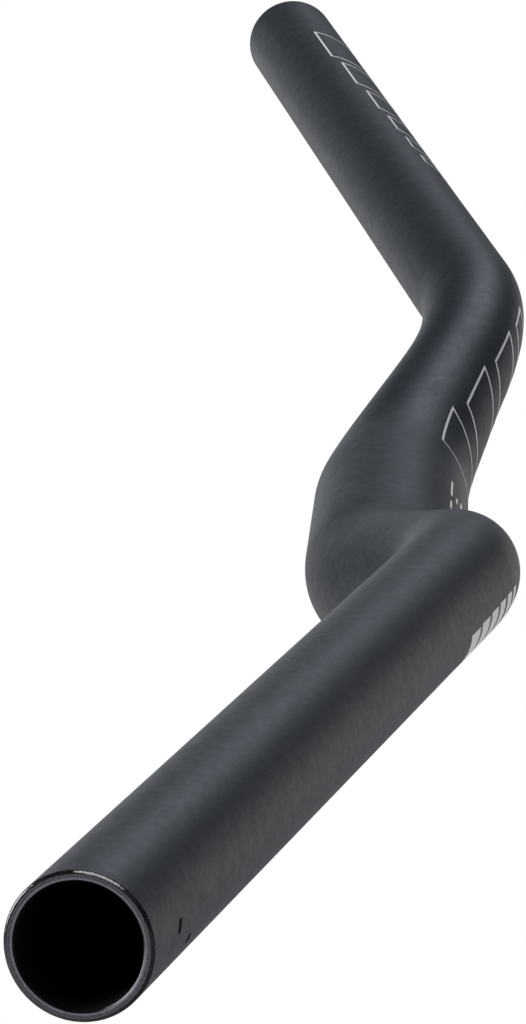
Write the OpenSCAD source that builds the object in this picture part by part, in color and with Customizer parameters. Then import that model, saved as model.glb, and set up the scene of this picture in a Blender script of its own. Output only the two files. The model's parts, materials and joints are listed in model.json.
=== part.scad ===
// Riser handlebar for a mountain bike: one seamless aluminium tube.
// The middle is straight and thick for the stem clamp. On each side the tube rises
// through an inner bend, tapers down from the clamp diameter to the grip diameter,
// and turns back and up through an outer bend into a straight grip end.
// The wall is butted: thick at the clamp, thin at the grips.
// Millimetres. Origin at the middle of the clamp zone, +X to the rider's right,
// +Y to the front of the bicycle, +Z up.

/* [Overall] */
// Width between the two tips, measured on the centre line
bar_width = 800; // [700:5:860]
// Outside diameter of the stem clamp zone
clamp_diameter = 31.8; // [28:0.1:35]
// Length of the straight stem clamp zone
clamp_length = 50; // [40:1:60]
// Outside diameter of the grip ends
grip_diameter = 22.2; // [20:0.1:25.4]

/* [Wall] */
// Wall thickness at the stem clamp
clamp_wall = 2.4; // [1.6:0.1:3.2]
// Wall thickness at the grips
grip_wall = 1.6; // [1.2:0.1:2.4]

/* [Rise and sweep] */
// Distance of the outer bend's corner from the middle of the bar
corner_out = 110.3; // [100:0.1:130]
// Height of the outer bend's corner above the clamp axis
corner_rise = 17.6; // [8:0.1:30]
// Distance of the outer bend's corner in front of the clamp axis
corner_forward = 22.9; // [5:0.1:30]
// Angle by which the grip ends turn back, seen from above
back_sweep = 9.6; // [5:0.1:12]
// Angle by which the grip ends turn up, seen from the front
up_sweep = 5; // [2:0.1:8]
// Centre line radius of the inner bend, which starts where the clamp zone ends
inner_bend_radius = 84; // [60:1:110]
// Centre line radius of the outer bend
outer_bend_radius = 100; // [70:1:130]

/* [Taper] */
// Length of tube, from the clamp zone's end, in which the diameter comes down
taper_length = 87; // [60:1:105]
// Length of the soft shoulder at the thick end of the taper
shoulder_length = 10; // [4:1:20]
// Length of the soft run-out at the thin end of the taper
runout_length = 33; // [10:1:36]

/* [Cut ends] */
// Width of the outer chamfer at each tip
outer_chamfer = 0.5; // [0.2:0.05:0.8]
// Width of the inner chamfer at each tip
inner_chamfer = 0.25; // [0.1:0.05:0.4]

/* [Finish] */
// Facets around the tapered skin
taper_facets = 48; // [32:4:64]
// Number of steps along the tapered skin
taper_steps = 18; // [12:1:24]

/* [Hidden] */
$fn = 96;
anodised_black = [0.075, 0.08, 0.085];

// Neighbouring stretches of the tube run into each other by this length
seam_overlap = 0.5;
// The outer bend lies this far inside the wall of the straight grip end that it runs into
bend_step = 0.03;
// and the tapered stretch lies this far inside the walls of both its neighbours
skin_step = 0.08;

half_width = bar_width / 2;
half_clamp = clamp_length / 2;
clamp_radius = clamp_diameter / 2;
grip_radius = grip_diameter / 2;
clamp_bore_radius = clamp_radius - clamp_wall;
grip_bore_radius = grip_radius - grip_wall;

function unit(v) = v / norm(v);

// Directions of the three straight runs of the right half
clamp_axis = [1, 0, 0];
rise_side = unit([0, corner_forward, corner_rise]);
grip_axis = unit([1, -tan(back_sweep), tan(up_sweep)]);

// Inner bend: an arc that leaves the clamp axis at the clamp's end and points at the corner
corner = [corner_out, corner_forward, corner_rise];
corner_offset = norm([corner_forward, corner_rise]);
corner_run = corner_out - half_clamp;
centre_drop = inner_bend_radius - corner_offset;
rise_angle = asin(inner_bend_radius / norm([corner_run, centre_drop])) - atan2(centre_drop, corner_run);
rise_axis = cos(rise_angle) * clamp_axis + sin(rise_angle) * rise_side;
clamp_end = half_clamp * clamp_axis;
inner_centre = clamp_end + inner_bend_radius * rise_side;
inner_arc_end = inner_centre + inner_bend_radius * (sin(rise_angle) * clamp_axis - cos(rise_angle) * rise_side);

// Outer bend: an arc between the rise and the grip end
turn_angle = acos(rise_axis * grip_axis);
turn_side = unit(grip_axis - (rise_axis * grip_axis) * rise_axis);
turn_setback = outer_bend_radius * tan(turn_angle / 2);
turn_start = corner - turn_setback * rise_axis;
turn_centre = turn_start + outer_bend_radius * turn_side;
grip_start = corner + turn_setback * grip_axis;

// Distances along the centre line, counted from the clamp zone's end
function arc_length(radius, angle) = radius * angle * PI / 180;
function arc_angle(radius, length) = length / radius * 180 / PI;
rise_from = arc_length(inner_bend_radius, rise_angle);
turn_from = rise_from + norm(turn_start - inner_arc_end);
grip_from = turn_from + arc_length(outer_bend_radius, turn_angle);
grip_to = grip_from + (half_width - grip_start[0]) / grip_axis[0];
skin_to = max(taper_length, turn_from);

// Point on the centre line at a distance along it
function centre_at(s) =
    s < 0 ? clamp_end + s * clamp_axis :
    s < rise_from ? arc_point(inner_centre, inner_bend_radius, clamp_axis, rise_side, s) :
    s < turn_from ? inner_arc_end + (s - rise_from) * rise_axis :
    s < grip_from ? arc_point(turn_centre, outer_bend_radius, rise_axis, turn_side, s - turn_from) :
    grip_start + (s - grip_from) * grip_axis;

// Direction of the centre line at a distance along it
function axis_at(s) =
    s < 0 ? clamp_axis :
    s < rise_from ? arc_axis(inner_bend_radius, clamp_axis, rise_side, s) :
    s < turn_from ? rise_axis :
    s < grip_from ? arc_axis(outer_bend_radius, rise_axis, turn_side, s - turn_from) :
    grip_axis;

function arc_point(centre, radius, start_axis, side, s) =
    let (angle = arc_angle(radius, s))
    centre + radius * (sin(angle) * start_axis - cos(angle) * side);

function arc_axis(radius, start_axis, side, s) =
    let (angle = arc_angle(radius, s))
    cos(angle) * start_axis + sin(angle) * side;

// A ramp that rises one for one past zero, with a soft start of half-length soft
function soft_ramp(x, soft) =
    x < -soft ? 0 : x > soft ? x : pow(x + soft, 2) / (4 * soft);

// Share of the taper that is done at a distance along it, from 0 to 1
taper_on = shoulder_length / 2;
taper_off = taper_length - runout_length / 2;
function taper_done(s) =
    (soft_ramp(s - taper_on, shoulder_length / 2) - soft_ramp(s - taper_off, runout_length / 2))
    / (taper_off - taper_on);

function blend(from, to, share) = from + (to - from) * share;
function skin_radius(s) = blend(clamp_radius, grip_radius, taper_done(s)) - skin_step;
function bore_radius(s) = blend(clamp_bore_radius, grip_bore_radius, taper_done(s)) + skin_step;

// One ring of points square to the centre line
function ring_at(s, radius) =
    let (along = axis_at(s), across = unit(cross(along, [0, 0, 1])), up = cross(across, along))
    [for (i = [0 : taper_facets - 1])
        let (angle = 360 * i / taper_facets)
        centre_at(s) + radius * (cos(angle) * across + sin(angle) * up)];

// Two triangles for each quad between neighbouring rings of points
function strip(first, second) =
    [for (i = [0 : taper_facets - 1])
        let (j = (i + 1) % taper_facets)
        each [[first + i, second + j, second + i], [first + i, first + j, second + j]]];

// The tapered and bent stretch: an outer and an inner skin swept along the centre line
module tapered_stretch() {
    stations = [for (i = [0 : taper_steps])
        blend(-seam_overlap, skin_to + seam_overlap, i / taper_steps)];
    outside = [for (s = stations) each ring_at(s, skin_radius(s))];
    inside = [for (s = stations) each ring_at(s, bore_radius(s))];
    bore_first = len(outside);
    last_ring = taper_steps * taper_facets;
    faces = [
        for (i = [0 : taper_steps - 1]) each strip(i * taper_facets, (i + 1) * taper_facets),
        for (i = [0 : taper_steps - 1])
            each strip(bore_first + (i + 1) * taper_facets, bore_first + i * taper_facets),
        each strip(bore_first, 0),
        each strip(last_ring, bore_first + last_ring)
    ];
    polyhedron(points = concat(outside, inside), faces = faces, convexity = 6);
}

// The straight middle that the stem holds
module clamp_zone() {
    rotate([0, 90, 0])
        difference() {
            cylinder(r = clamp_radius, h = clamp_length, center = true);
            cylinder(r = clamp_bore_radius, h = clamp_length + 2 * seam_overlap, center = true);
        }
}

// The outer bend's own frame: +Z is its axis, and the tube runs past the start along +Y
module on_outer_bend(angle) {
    bend_axis = cross(rise_axis, turn_side);
    multmatrix([
        [-turn_side[0], rise_axis[0], bend_axis[0], turn_centre[0]],
        [-turn_side[1], rise_axis[1], bend_axis[1], turn_centre[1]],
        [-turn_side[2], rise_axis[2], bend_axis[2], turn_centre[2]]
    ])
        rotate([0, 0, angle]) children();
}

// The rest of the outer bend, past the taper, at grip size
module outer_bend() {
    sweep_from = arc_angle(outer_bend_radius, skin_to - turn_from);
    sweep_to = turn_angle + arc_angle(outer_bend_radius, seam_overlap);
    on_outer_bend(sweep_from)
        rotate_extrude(angle = sweep_to - sweep_from)
            translate([outer_bend_radius, 0])
                difference() {
                    circle(r = grip_radius - bend_step);
                    circle(r = grip_bore_radius + bend_step);
                }
}

// The straight grip end with its chamfered mouth
module grip_end() {
    skipped = max(0, skin_to - grip_from);
    length = grip_to - grip_from - skipped;
    on_outer_bend(turn_angle)
        translate([outer_bend_radius, skipped, 0])
            rotate([-90, 0, 0])
                rotate_extrude()
                    polygon([
                        [grip_bore_radius, 0],
                        [grip_radius, 0],
                        [grip_radius, length - outer_chamfer],
                        [grip_radius - outer_chamfer, length],
                        [grip_bore_radius + inner_chamfer, length],
                        [grip_bore_radius, length - inner_chamfer]
                    ]);
}

module right_side() {
    tapered_stretch();
    if (skin_to < grip_from) outer_bend();
    grip_end();
}

module handlebar() {
    color(anodised_black) {
        clamp_zone();
        right_side();
        mirror([1, 0, 0]) right_side();
    }
}

handlebar();
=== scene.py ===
import json
import math

import bpy
from mathutils import Matrix, Vector


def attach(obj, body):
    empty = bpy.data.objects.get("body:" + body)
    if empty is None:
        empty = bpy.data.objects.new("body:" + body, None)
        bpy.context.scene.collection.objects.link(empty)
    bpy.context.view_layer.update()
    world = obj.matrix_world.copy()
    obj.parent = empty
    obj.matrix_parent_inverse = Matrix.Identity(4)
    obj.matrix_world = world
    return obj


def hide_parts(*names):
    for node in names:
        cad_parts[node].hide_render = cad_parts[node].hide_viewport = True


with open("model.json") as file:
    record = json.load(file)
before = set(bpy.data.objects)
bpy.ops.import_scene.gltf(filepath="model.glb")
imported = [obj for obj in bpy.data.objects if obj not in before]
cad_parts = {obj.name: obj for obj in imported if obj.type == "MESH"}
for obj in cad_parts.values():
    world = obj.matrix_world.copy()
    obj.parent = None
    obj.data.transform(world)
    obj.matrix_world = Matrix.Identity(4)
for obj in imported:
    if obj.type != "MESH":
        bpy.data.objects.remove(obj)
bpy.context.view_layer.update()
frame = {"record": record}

# Lengths below are in metres, like the frame. MM turns millimetres into metres.
# A place on the bar is a distance s along the centre line, positive on the right half,
# and an azimuth round the tube in degrees: 0 back, 90 up, 180 front, 270 down.
MM = 0.001
X = Vector((1, 0, 0))
Z = Vector((0, 0, 1))

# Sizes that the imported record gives
mounts = {mount["name"]: mount for mount in frame["record"]["mounts"]}


def radius_of(mount):
    return mount["dims"]["r_mm"] * MM


def length_of(mount):
    return mount["dims"]["length_mm"] * MM


clamp_radius = radius_of(mounts["stem_clamp"])
half_clamp = length_of(mounts["stem_clamp"]) / 2
grip_radius = radius_of(mounts["grip_right"])
grip_bore = radius_of(mounts["plug_right"])
grip_axis = Vector(mounts["grip_right"]["axis"]).normalized()
grip_wall_length = length_of(mounts["grip_right"])
grip_start = Vector(mounts["grip_right"]["pos_m"]) - grip_axis * grip_wall_length / 2

# Sizes of the bends, the taper and the cut ends
corner = Vector((110.3, 22.9, 17.6)) * MM
inner_bend_radius = 84 * MM
outer_bend_radius = 100 * MM
taper_length = 87 * MM
shoulder_length = 10 * MM
runout_length = 33 * MM
clamp_wall = 2.4 * MM
clamp_bore = clamp_radius - clamp_wall
outer_chamfer = 0.5 * MM
inner_chamfer = 0.25 * MM

# Centre line of the right half: straight, inner bend, rise, outer bend, straight
clamp_end = X * half_clamp
corner_side = Vector((0, corner.y, corner.z))
rise_side = corner_side.normalized()
corner_run = corner.x - half_clamp
centre_drop = inner_bend_radius - corner_side.length
rise_angle = math.asin(inner_bend_radius / math.hypot(corner_run, centre_drop))
rise_angle -= math.atan2(centre_drop, corner_run)
rise_axis = math.cos(rise_angle) * X + math.sin(rise_angle) * rise_side
inner_arc_end = clamp_end + inner_bend_radius * (
    math.sin(rise_angle) * X + (1 - math.cos(rise_angle)) * rise_side
)
turn_angle = rise_axis.angle(grip_axis)
turn_side = (grip_axis - rise_axis.dot(grip_axis) * rise_axis).normalized()
turn_start = corner - outer_bend_radius * math.tan(turn_angle / 2) * rise_axis

# Distances along the centre line, from the middle of the bar
rise_from = half_clamp + inner_bend_radius * rise_angle
turn_from = rise_from + (turn_start - inner_arc_end).length
grip_from = turn_from + outer_bend_radius * turn_angle
tip_at = grip_from + grip_wall_length + outer_chamfer


def right_centre(s):
    """The centre line's point and direction on the right half, at a distance from the middle."""
    if s < half_clamp:
        return X * s, X
    if s < rise_from:
        angle = (s - half_clamp) / inner_bend_radius
        step = math.sin(angle) * X + (1 - math.cos(angle)) * rise_side
        along = math.cos(angle) * X + math.sin(angle) * rise_side
        return clamp_end + inner_bend_radius * step, along
    if s < turn_from:
        return inner_arc_end + (s - rise_from) * rise_axis, rise_axis
    if s < grip_from:
        angle = (s - turn_from) / outer_bend_radius
        step = math.sin(angle) * rise_axis + (1 - math.cos(angle)) * turn_side
        along = math.cos(angle) * rise_axis + math.sin(angle) * turn_side
        return turn_start + outer_bend_radius * step, along
    return grip_start + (s - grip_from) * grip_axis, grip_axis


def centre(s):
    """The same for the whole bar. The direction always runs to the right."""
    point, along = right_centre(abs(s))
    if s >= 0:
        return point, along
    return Vector((-point.x, point.y, point.z)), Vector((along.x, -along.y, -along.z))


def soft_ramp(x, soft):
    """Rises one for one past zero, with a soft start of half-length soft."""
    if x < -soft:
        return 0.0
    return x if x > soft else (x + soft) ** 2 / (4 * soft)


def taper_done(s):
    """Share of the taper that is done at a distance from the middle, from 0 to 1."""
    x = abs(s) - half_clamp
    begins = shoulder_length / 2
    ends = taper_length - runout_length / 2
    drop = soft_ramp(x - begins, shoulder_length / 2) - soft_ramp(x - ends, runout_length / 2)
    return drop / (ends - begins)


def skin_radius(s):
    return clamp_radius + (grip_radius - clamp_radius) * taper_done(s)


def bore_radius(s):
    return clamp_bore + (grip_bore - clamp_bore) * taper_done(s)


def direction_at(s, azimuth):
    """The way out of the tube at a place on it."""
    along = centre(s)[1]
    across = along.cross(Z).normalized()
    up = across.cross(along)
    turn = math.radians(azimuth)
    return math.cos(turn) * across + math.sin(turn) * up


def on_tube(s, azimuth, radius):
    return centre(s)[0] + radius * direction_at(s, azimuth)


# The tube as a fine mesh: facets round it, distances between its rings, the angle from which
# an edge counts as sharp, and the parts of its surface
FACETS = 144
BEND_STEP = 1.2 * MM
GRIP_STEP = 12 * MM
SHARP_EDGE = math.radians(20)
SKIN, CHAMFER, FACE, EDGE, BORE = range(5)


def spread(start, end, step):
    """Evenly spaced distances from start to just before end."""
    count = max(1, math.ceil((end - start) / step))
    return [start + (end - start) * i / count for i in range(count)]


def skin_stations():
    """Distances at which the outer skin has a ring, from the left tip to the right one."""
    bends_to = max(grip_from, half_clamp + taper_length)
    half = spread(0, half_clamp, GRIP_STEP)
    half += spread(half_clamp, bends_to, BEND_STEP)
    half += spread(bends_to, tip_at - outer_chamfer, GRIP_STEP)
    half.append(tip_at - outer_chamfer)
    return [-s for s in reversed(half[1:])] + half


def closed_profile():
    """Each ring's (s, radius, surface up to the next ring): right along the skin, back along the bore."""
    stations = skin_stations()
    rings = [(s, skin_radius(s), SKIN) for s in stations[:-1]]
    rings.append((stations[-1], grip_radius, CHAMFER))
    rings.append((tip_at, grip_radius - outer_chamfer, FACE))
    rings.append((tip_at, grip_bore + inner_chamfer, EDGE))
    rings.append((tip_at - inner_chamfer, grip_bore, BORE))
    rings += [(s, bore_radius(s), BORE) for s in reversed(stations[1:-1])]
    rings.append((inner_chamfer - tip_at, grip_bore, EDGE))
    rings.append((-tip_at, grip_bore + inner_chamfer, FACE))
    rings.append((-tip_at, grip_radius - outer_chamfer, CHAMFER))
    return rings


def link_mesh(name, points, faces, materials, kinds=None):
    mesh = bpy.data.meshes.new(name)
    mesh.from_pydata(points, [], faces)
    for material in materials:
        mesh.materials.append(material)
    if kinds:
        mesh.polygons.foreach_set("material_index", kinds)
    mesh.validate()
    piece = bpy.data.objects.new(name, mesh)
    bpy.context.scene.collection.objects.link(piece)
    return piece


def make_tube(materials):
    rings = closed_profile()
    points = []
    for s, radius, _ in rings:
        points += [on_tube(s, 360 * i / FACETS, radius) for i in range(FACETS)]
    faces = []
    kinds = []
    for k, (_, _, kind) in enumerate(rings):
        first = k * FACETS
        second = (k + 1) % len(rings) * FACETS
        for i in range(FACETS):
            j = (i + 1) % FACETS
            faces.append((first + i, second + i, second + j, first + j))
            kinds.append(kind)
    tube = link_mesh("handlebar_tube", points, faces, materials, kinds)
    tube.data.polygons.foreach_set("use_smooth", [True] * len(faces))
    tube.data.set_sharp_from_angle(angle=SHARP_EDGE)
    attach(tube, "root")
    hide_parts("handlebar")


# Prints: thin closed layers that follow the skin. Their plan is drawn as (s, azimuth).
PRINT_PROUD = 0.03 * MM
PRINT_SUNK = 0.05 * MM
PRINT_STEP = 1 * MM
LINE_WIDTH = 0.52 * MM


def arc_degrees(length, s):
    """The azimuth that an arc of a length takes up on the skin at a distance along the bar."""
    return math.degrees(length / skin_radius(s))


def layer(rows, closed):
    """Points and faces of a thin layer over rows of (s, azimuth). Closed rows go round in a loop."""
    columns = len(rows[0])
    ring = 2 * columns
    points = []
    for row in rows:
        points += [on_tube(s, azimuth, skin_radius(s) + PRINT_PROUD) for s, azimuth in row]
        points += [on_tube(s, azimuth, skin_radius(s) - PRINT_SUNK) for s, azimuth in reversed(row)]
    faces = []
    spans = len(rows) if closed else len(rows) - 1
    for k in range(spans):
        first = k * ring
        second = (k + 1) % len(rows) * ring
        for i in range(ring):
            j = (i + 1) % ring
            faces.append((first + i, first + j, second + j, second + i))
    if not closed:
        last = (len(rows) - 1) * ring
        for i in range(columns - 1):
            under = ring - 1 - i
            faces.append((i, under, under - 1, i + 1))
            faces.append((last + i, last + i + 1, last + under - 1, last + under))
    return points, faces


def between(a, b, share):
    return [p + (q - p) * share for p, q in zip(a, b)]


def slanted_bar(s, azimuth, width, height, slant):
    """Corners of a bar: width runs along the tube, height round it, and slant shifts its far edge."""
    far_azimuth = azimuth + arc_degrees(height, s)
    return [
        (s, azimuth),
        (s + width, azimuth),
        (s + width + slant, far_azimuth),
        (s + slant, far_azimuth),
    ]


def filled(corners):
    """A bar as a solid patch."""
    height = math.radians(corners[3][1] - corners[0][1]) * skin_radius(corners[0][0])
    count = max(1, math.ceil(height / PRINT_STEP))
    across = max(1, math.ceil(abs(corners[1][0] - corners[0][0]) / PRINT_STEP))
    rows = []
    for k in range(count + 1):
        left = between(corners[0], corners[3], k / count)
        right = between(corners[1], corners[2], k / count)
        rows.append([between(left, right, i / across) for i in range(across + 1)])
    return layer(rows, closed=False)


def outlined(corners):
    """A bar as a thin line around its edge, which lies inside the corners."""
    a, b, c, d = corners
    radius = skin_radius(a[0])
    height = math.radians(d[1] - a[1]) * radius
    slant_length = math.hypot(d[0] - a[0], height)
    inset = math.degrees(LINE_WIDTH / radius)
    side = LINE_WIDTH * slant_length / height
    lean = (d[0] - a[0]) * LINE_WIDTH / height
    inner = [
        (a[0] + side + lean, a[1] + inset),
        (b[0] - side + lean, b[1] + inset),
        (c[0] - side - lean, c[1] - inset),
        (d[0] + side - lean, d[1] - inset),
    ]
    rows = []
    for k in range(4):
        start, end = corners[k], corners[(k + 1) % 4]
        inner_start, inner_end = inner[k], inner[(k + 1) % 4]
        length = abs(end[0] - start[0]) if k % 2 == 0 else slant_length
        count = max(1, math.ceil(length / PRINT_STEP))
        for i in range(count):
            outer_point = between(start, end, i / count)
            rows.append([outer_point, between(inner_start, inner_end, i / count)])
    return layer(rows, closed=True)


def bars_in_a_row(start, end, widths, gap, height, slant, draw):
    """Bars side by side from start on, each beginning on the line from start to end."""
    reach = sum(widths) + gap * (len(widths) - 1)
    heading = 1 if end[0] > start[0] else -1
    shapes = []
    done = 0
    for width in widths:
        azimuth = start[1] + (end[1] - start[1]) * done / reach
        left = start[0] + heading * done - (width if heading < 0 else 0)
        shapes.append(draw(slanted_bar(left, azimuth, width, height, slant)))
        done += width + gap
    return shapes


def make_print(name, shapes, material):
    points = []
    faces = []
    for shape_points, shape_faces in shapes:
        first = len(points)
        points += shape_points
        faces += [tuple(first + i for i in face) for face in shape_faces]
    piece = link_mesh(name, points, faces, [material])
    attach(piece, "root")


def in_mm(*lengths):
    return [length * MM for length in lengths]


# (s, azimuth, length) of the dashes at the clamp
DASH_HEIGHT = 0.58 * MM
DASHES = [
    (-9.5 * MM, 155, 12 * MM),
    (7.5 * MM, 155, 6 * MM),
    (-1.2 * MM, 162, 4 * MM),
    (-4 * MM, 169, 4.5 * MM),
    (-1.2 * MM, 176, 4 * MM),
    (-4 * MM, 183, 4.5 * MM),
]
# (s, azimuth, width, height) of the ticks near the right tip
TICK_SLANT = 0.8 * MM
TICKS = [
    (392.8 * MM, 187, 1.7 * MM, 2 * MM),
    (385 * MM, 209, 1.7 * MM, 1.2 * MM),
]


def make_prints(white, dark):
    make_print("grip_bars_right", bars_in_a_row(
        start=(174 * MM, 200), end=(132 * MM, 194), widths=in_mm(8, 7, 6, 5, 4, 3),
        gap=1.8 * MM, height=9 * MM, slant=-4 * MM, draw=filled,
    ), white)
    make_print("rise_bars_left", bars_in_a_row(
        start=(-38 * MM, 142), end=(-117 * MM, 172), widths=in_mm(22, 18, 14, 10),
        gap=5 * MM, height=17 * MM, slant=15 * MM, draw=outlined,
    ), white)
    make_print("grip_bars_left", bars_in_a_row(
        start=(-370 * MM, 101), end=(-226 * MM, 130), widths=in_mm(30, 25, 20, 15, 11, 8),
        gap=7 * MM, height=16 * MM, slant=15 * MM, draw=outlined,
    ), white)
    make_print("clamp_dashes", [
        filled(slanted_bar(s, azimuth, length, DASH_HEIGHT, slant=0)) for s, azimuth, length in DASHES
    ], white)
    make_print("end_ticks", [
        filled(slanted_bar(s, azimuth, width, height, TICK_SLANT)) for s, azimuth, width, height in TICKS
    ], dark)


def new_material(name, specular=None, colour=None, roughness=None):
    """A material and its shader. What isn't given keeps its default or is fed by a pattern."""
    material = bpy.data.materials.new(name)
    material.use_nodes = True
    shader = material.node_tree.nodes["Principled BSDF"]
    if specular is not None:
        shader.inputs["Specular IOR Level"].default_value = specular
    if colour is not None:
        shader.inputs["Base Color"].default_value = (*colour, 1)
    if roughness is not None:
        shader.inputs["Roughness"].default_value = roughness
    return material, shader


def add_node(material, kind, inputs=None, **settings):
    """A new node. inputs gives each input's value or the output that feeds it."""
    node = material.node_tree.nodes.new("ShaderNode" + kind)
    for name, value in settings.items():
        setattr(node, name, value)
    for key, value in (inputs or {}).items():
        if isinstance(value, bpy.types.NodeSocket):
            material.node_tree.links.new(value, node.inputs[key])
        else:
            node.inputs[key].default_value = value
    return node


def feed(material, output, socket):
    material.node_tree.links.new(output, socket)


# Nearly all values of the noise lie between these two
NOISE_LOW = 0.3
NOISE_HIGH = 0.7


def noise(material, size, detail=2.0):
    """Noise with lumps of about a size, fixed to the object."""
    place = add_node(material, "TexCoord")
    return add_node(material, "TexNoise", {
        "Vector": place.outputs["Object"], "Scale": 1 / size, "Detail": detail,
    }).outputs["Fac"]


def sum_of(material, first, second):
    return add_node(material, "Math", {0: first, 1: second}, operation="ADD").outputs[0]


def product_of(material, first, second):
    return add_node(material, "Math", {0: first, 1: second}, operation="MULTIPLY").outputs[0]


def stretched(material, value, low, high, to_low=0.0, to_high=1.0):
    """Goes evenly from to_low to to_high while a value goes from low to high, and stops at both."""
    return add_node(material, "MapRange", {
        "Value": value, "From Min": low, "From Max": high, "To Min": to_low, "To Max": to_high,
    }).outputs["Result"]


def mixed(material, share, low, high):
    """A colour between two, by share."""
    node = add_node(material, "Mix", {"Factor": share}, data_type="RGBA")
    low_socket, high_socket = [socket for socket in node.inputs if socket.type == "RGBA"]
    low_socket.default_value = (*low, 1)
    high_socket.default_value = (*high, 1)
    return next(socket for socket in node.outputs if socket.type == "RGBA")


def through(material, value, stops, tint):
    """A colour that goes through stops of (position, level of the tint) as value goes from 0 to 1."""
    node = add_node(material, "ValToRGB", {"Fac": value})
    elements = node.color_ramp.elements
    for position, _ in stops[1:-1]:
        elements.new(position)
    for element, (position, level) in zip(elements, stops):
        element.position = position
        element.color = (*(level * part for part in tint), 1)
    return node.outputs["Color"]


def grain(material, shader, size, depth):
    """A fine rough surface: lumps of a size, with a depth from low to high."""
    bump = add_node(material, "Bump", {"Height": noise(material, size, detail=3.0), "Distance": depth})
    feed(material, bump.outputs["Normal"], shader.inputs["Normal"])


def anodised_black():
    """Bead-blasted aluminium, anodised a dull and cool black, with a fine grain and faint clouds."""
    material, shader = new_material("anodised_black", specular=0.185)
    shader.inputs["Specular Tint"].default_value = (0.78, 0.885, 1, 1)
    clouds = noise(material, size=2.5 * MM)
    speckle = noise(material, size=0.6 * MM)
    both = sum_of(material, clouds, speckle)
    tone = stretched(material, both, 2 * NOISE_LOW, 2 * NOISE_HIGH)
    shades = mixed(material, tone, (0.011, 0.0145, 0.0205), (0.022, 0.0275, 0.0345))
    feed(material, shades, shader.inputs["Base Color"])
    dullness = stretched(
        material, both, 2 * NOISE_LOW, 2 * NOISE_HIGH, to_low=0.565, to_high=0.475,
    )
    feed(material, dullness, shader.inputs["Roughness"])
    grain(material, shader, size=0.4 * MM, depth=0.045 * MM)
    return material


def from_tip(material, folded=True):
    """A point as seen from the middle of the right mouth. Folded, the left end counts as the right."""
    place = add_node(material, "TexCoord").outputs["Object"]
    if folded:
        parts = add_node(material, "SeparateXYZ", {"Vector": place})
        one_side = add_node(material, "Math", {0: parts.outputs["X"]}, operation="ABSOLUTE")
        place = add_node(material, "CombineXYZ", {
            "X": one_side.outputs[0], "Y": parts.outputs["Y"], "Z": parts.outputs["Z"],
        }).outputs[0]
    mouth = centre(tip_at)[0]
    return add_node(material, "VectorMath", {0: place, 1: mouth}, operation="SUBTRACT").outputs[0]


def from_axis(material):
    """How far a point of either end lies from the axis of its grip end."""
    lever = add_node(material, "VectorMath", {
        0: from_tip(material), 1: grip_axis,
    }, operation="CROSS_PRODUCT")
    return add_node(material, "VectorMath", {0: lever.outputs[0]}, operation="LENGTH").outputs["Value"]


# Ridges that the tool left on the cut ends: from one to the next, and how deep
TOOL_RING = 0.16 * MM
TOOL_DEPTH = 0.004 * MM
# (share of the face's width from its outer edge, level of grey) of the rings on the cut ends
FACE_RINGS = [(0, 0.012), (0.2, 0.11), (0.45, 0.03), (0.75, 0.18), (1, 0.23)]
# Where the edges of the right end are painted bright: on the outer chamfer, metal worn free of anodising
# and painted as a highlight; along the mouth, only a painted highlight. Given as the azimuth, and how far
# to either side of it, in degrees, the brightening begins and is full
WEAR_AND_GLINT_TOP = (118, 26, 6)
WEAR_AND_GLINT_BACK = (42, 28, 12)
PAINTED_GLINT_MOUTH = (223, 48, 6)


def cut_face():
    """The sawn and turned end: two pale rings on a dark face, with fine ridges from the tool."""
    material, shader = new_material("cut_face", roughness=0.4)
    out = from_axis(material)
    inward = stretched(material, out, grip_radius - outer_chamfer, grip_bore + inner_chamfer)
    fine = noise(material, size=0.3 * MM)
    uneven = stretched(material, fine, NOISE_LOW, NOISE_HIGH, to_low=-0.12, to_high=0.12)
    shades = through(material, sum_of(material, inward, uneven), FACE_RINGS, tint=(1, 1, 1.2))
    feed(material, shades, shader.inputs["Base Color"])
    turns = product_of(material, out, 2 * math.pi / TOOL_RING)
    ridges = add_node(material, "Math", {0: turns}, operation="SINE")
    bump = add_node(material, "Bump", {"Height": ridges.outputs[0], "Distance": TOOL_DEPTH})
    feed(material, bump.outputs["Normal"], shader.inputs["Normal"])
    return material


def wear_and_glint_near(material, spot, radius, most):
    """A mask at the right end for worn metal and painted highlight, from 0 to most, near a spot given as
    (azimuth, begins, full).
    """
    azimuth, begins, full = spot
    near_spot = add_node(material, "VectorMath", {
        0: from_tip(material, folded=False), 1: direction_at(tip_at, azimuth),
    }, operation="DOT_PRODUCT")
    outer, inner = (radius * math.cos(math.radians(angle)) for angle in (begins, full))
    return stretched(material, near_spot.outputs["Value"], outer, inner, 0, most)


def brightened_by_wear_and_glint(material, shader, wear_and_glint, unevenness, dark, bright, metallic):
    """A dark colour that turns to bright metal where the mask is high. On the outer chamfer the dark is
    the anodising, and the bright is worn metal with a painted highlight; on the mouth the dark is painted
    shade and the bright a painted highlight. Fine noise makes its edge uneven.
    """
    fine = noise(material, size=0.22 * MM, detail=4.0)
    uneven = stretched(material, fine, NOISE_LOW, NOISE_HIGH, -unevenness, unevenness)
    bare_and_glint = stretched(material, sum_of(material, wear_and_glint, uneven), low=0.35, high=0.95)
    feed(material, mixed(material, bare_and_glint, dark, bright), shader.inputs["Base Color"])
    feed(material, product_of(material, bare_and_glint, metallic), shader.inputs["Metallic"])


def chamfer_line(material, outer, inner):
    """1 along the middle of a line round the outer chamfer, and 0 past its edges.

    The edges are given as shares of the chamfer's width, from the skin inwards.
    """
    inward = stretched(material, from_axis(material), grip_radius, grip_radius - outer_chamfer)
    middle = (outer + inner) / 2
    rising = stretched(material, inward, outer, middle)
    falling = stretched(material, inward, middle, inner, 1, 0)
    return product_of(material, rising, falling)


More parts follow.
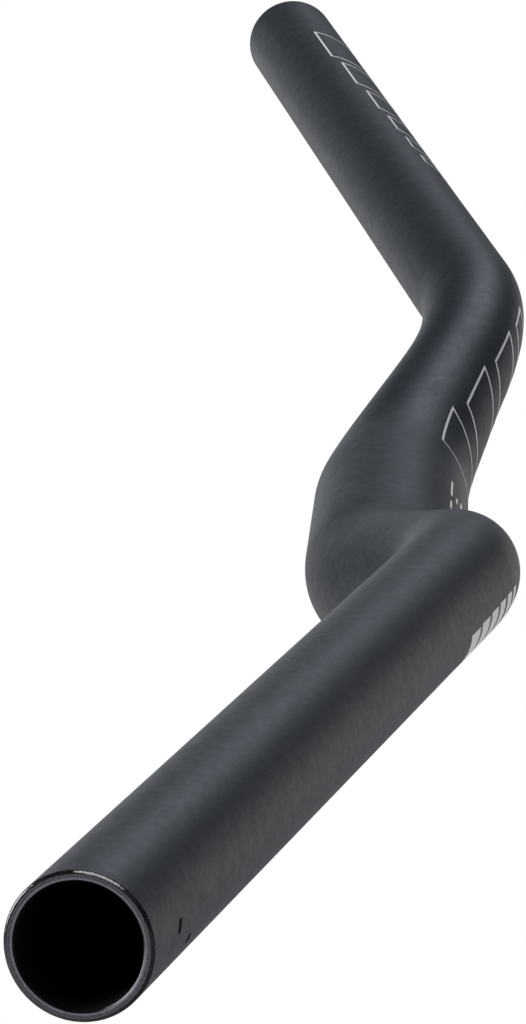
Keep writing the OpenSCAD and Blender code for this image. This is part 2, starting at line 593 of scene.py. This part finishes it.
def chamfer_wear_and_glint():
    """The dark outer chamfer, with worn metal painted bright as a highlight near the top and at the back
    of the right end.
    """
    material, shader = new_material("chamfer_wear_and_glint", specular=0.2, roughness=0.3)
    # Near the top and at the back, the chamfer turns to worn metal, painted bright as a highlight.
    top = wear_and_glint_near(material, WEAR_AND_GLINT_TOP, grip_radius, most=2.4)
    streak = product_of(material, top, chamfer_line(material, outer=0.1, inner=0.95))
    back = wear_and_glint_near(material, WEAR_AND_GLINT_BACK, grip_radius, most=1.4)
    line = product_of(material, back, chamfer_line(material, outer=0.1, inner=0.75))
    brightened_by_wear_and_glint(
        material, shader, sum_of(material, streak, line), unevenness=0.5,
        dark=(0.006, 0.006, 0.009), bright=(0.97, 0.98, 1), metallic=0.2,
    )
    grain(material, shader, size=0.2 * MM, depth=0.03 * MM)
    return material


def mouth_edge():
    """The inner chamfer: a thin edge painted dark as shade, with a painted highlight along one stretch of
    the right end.
    """
    material, shader = new_material("mouth_edge", specular=0.1, roughness=0.35)
    # Dark as painted shade at the mouth, with a bright stretch that is a painted highlight.
    brightened_by_wear_and_glint(
        material, shader, wear_and_glint_near(material, PAINTED_GLINT_MOUTH, grip_bore, most=1), unevenness=0.2,
        dark=(0.008, 0.008, 0.01), bright=(0.42, 0.42, 0.46), metallic=0.4,
    )
    grain(material, shader, size=0.2 * MM, depth=0.02 * MM)
    return material


def bore_black():
    material, shader = new_material(
        "bore_black", specular=0.3, colour=(0.006, 0.006, 0.007), roughness=0.55,
    )
    grain(material, shader, size=0.6 * MM, depth=0.02 * MM)
    return material


def print_white():
    """Thin white print: a little uneven where the grain of the skin shows through."""
    material, shader = new_material("print_white", specular=0.8, roughness=0.4)
    tone = stretched(material, noise(material, size=0.4 * MM), NOISE_LOW, NOISE_HIGH)
    feed(material, mixed(material, tone, (0.93, 0.94, 0.96), (1, 1, 1)), shader.inputs["Base Color"])
    grain(material, shader, size=0.28 * MM, depth=0.008 * MM)
    return material


def tick_dark():
    material, shader = new_material(
        "tick_dark", specular=0.05, colour=(0.003, 0.003, 0.0035), roughness=0.9,
    )
    grain(material, shader, size=0.28 * MM, depth=0.01 * MM)
    return material


# Studio: the floor's depth under the bar, half its width, and where it fades to plain white
FLOOR_DROP = 0.6
FLOOR_REACH = 14
WHITE_FROM = 0.9
WHITE_TO = 1.6


def floor_white():
    """Pale matt floor. The camera, and what mirrors it, see it as plain white away from the bar."""
    material, shader = new_material(
        "floor_white", specular=0.1, colour=(0.85, 0.85, 0.85), roughness=0.9,
    )
    paths = add_node(material, "LightPath")
    seen = add_node(material, "Math", {
        0: paths.outputs["Is Camera Ray"], 1: paths.outputs["Is Glossy Ray"],
    }, operation="MAXIMUM")
    seen_through = add_node(material, "Math", {
        0: seen.outputs[0], 1: paths.outputs["Is Transmission Ray"],
    }, operation="MAXIMUM")
    place = add_node(material, "TexCoord")
    away = add_node(material, "VectorMath", {0: place.outputs["Object"]}, operation="LENGTH")
    fade = add_node(material, "MapRange", {
        "Value": away.outputs["Value"], "From Min": WHITE_FROM, "From Max": WHITE_TO,
    }, interpolation_type="SMOOTHSTEP")
    share = product_of(material, seen_through.outputs[0], fade.outputs["Result"])
    white = add_node(material, "Emission", {"Strength": 1.0})
    both = add_node(material, "MixShader", {
        0: share, 1: shader.outputs["BSDF"], 2: white.outputs["Emission"],
    })
    surface = material.node_tree.nodes["Material Output"].inputs["Surface"]
    feed(material, both.outputs["Shader"], surface)
    return material


def make_floor():
    sides = ((-1, -1), (1, -1), (1, 1), (-1, 1))
    corners = [(x * FLOOR_REACH, y * FLOOR_REACH, 0) for x, y in sides]
    floor = link_mesh("studio_floor", corners, [(0, 1, 2, 3)], [floor_white()])
    floor.location.z = -FLOOR_DROP


SOFTBOX_DISTANCE = 2.5
COOL = (0.95, 0.987, 1.085)
NEUTRAL = (1, 1, 1)
# Name, direction from +X towards +Y and angle above level in degrees, width and height in metres,
# what it gives at the bar in W/m2, and colour
SOFTBOXES = [
    ("back_softbox", 155, 40.5, 0.8, 1.5, 1.33, COOL),
    ("front_softbox", -60, 30, 1.2, 1.2, 1.95, NEUTRAL),
    ("left_softbox", 60, 40, 1.2, 1.2, 0.3, NEUTRAL),
    ("low_softbox", 194, 3, 1.4, 0.8, 0.22, COOL),
]
WORLD_STRENGTH = 0.06


def make_softbox(name, direction, elevation, wide, tall, irradiance, colour):
    turn = math.radians(direction)
    rise = math.radians(elevation)
    level = math.cos(rise)
    toward = Vector((level * math.cos(turn), level * math.sin(turn), math.sin(rise)))
    light = bpy.data.lights.new(name, "AREA")
    light.shape = "RECTANGLE"
    light.color = colour
    light.size = wide
    light.size_y = tall
    # An area lamp of power P gives P / (pi d2) at a distance d, straight in front of it
    light.energy = irradiance * math.pi * SOFTBOX_DISTANCE ** 2
    lamp = bpy.data.objects.new(name, light)
    lamp.location = toward * SOFTBOX_DISTANCE
    lamp.rotation_mode = "QUATERNION"
    lamp.rotation_quaternion = toward.to_track_quat("Z", "Y")
    lamp.visible_camera = False
    bpy.context.scene.collection.objects.link(lamp)


def make_world():
    world = bpy.data.worlds.new("studio")
    world.use_nodes = True
    background = world.node_tree.nodes["Background"]
    background.inputs["Color"].default_value = (1, 1, 1, 1)
    background.inputs["Strength"].default_value = WORLD_STRENGTH
    bpy.context.scene.world = world


# Camera: where it stands, where it looks from +Y clockwise seen from above and down from level,
# how far it is turned about its view, and its lens and sensor in millimetres
eye = Vector((1.27464, 0.09305, 0.29420))
view_azimuth = math.radians(-95.2336)
view_down = math.radians(12.5075)
view_roll = math.radians(-12.591)
lens = 227.644
sensor = 36


def make_camera():
    forward = Vector((
        math.sin(view_azimuth) * math.cos(view_down),
        math.cos(view_azimuth) * math.cos(view_down),
        -math.sin(view_down),
    ))
    level = forward.cross(Z).normalized()
    upright = level.cross(forward)
    right = math.cos(view_roll) * level + math.sin(view_roll) * upright
    up = right.cross(forward)
    data = bpy.data.cameras.new("camera")
    data.lens = lens
    data.sensor_width = sensor
    data.clip_start = 0.01
    data.clip_end = 100
    camera = bpy.data.objects.new("camera", data)
    turn = Matrix((right, up, -forward)).transposed().to_4x4()
    camera.matrix_world = Matrix.Translation(eye) @ turn
    bpy.context.scene.collection.objects.link(camera)
    bpy.context.scene.camera = camera


bpy.context.scene.view_settings.view_transform = "Standard"
make_camera()
make_tube([anodised_black(), chamfer_wear_and_glint(), cut_face(), mouth_edge(), bore_black()])
make_prints(print_white(), tick_dark())
make_floor()
make_world()
for softbox in SOFTBOXES:
    make_softbox(*softbox)
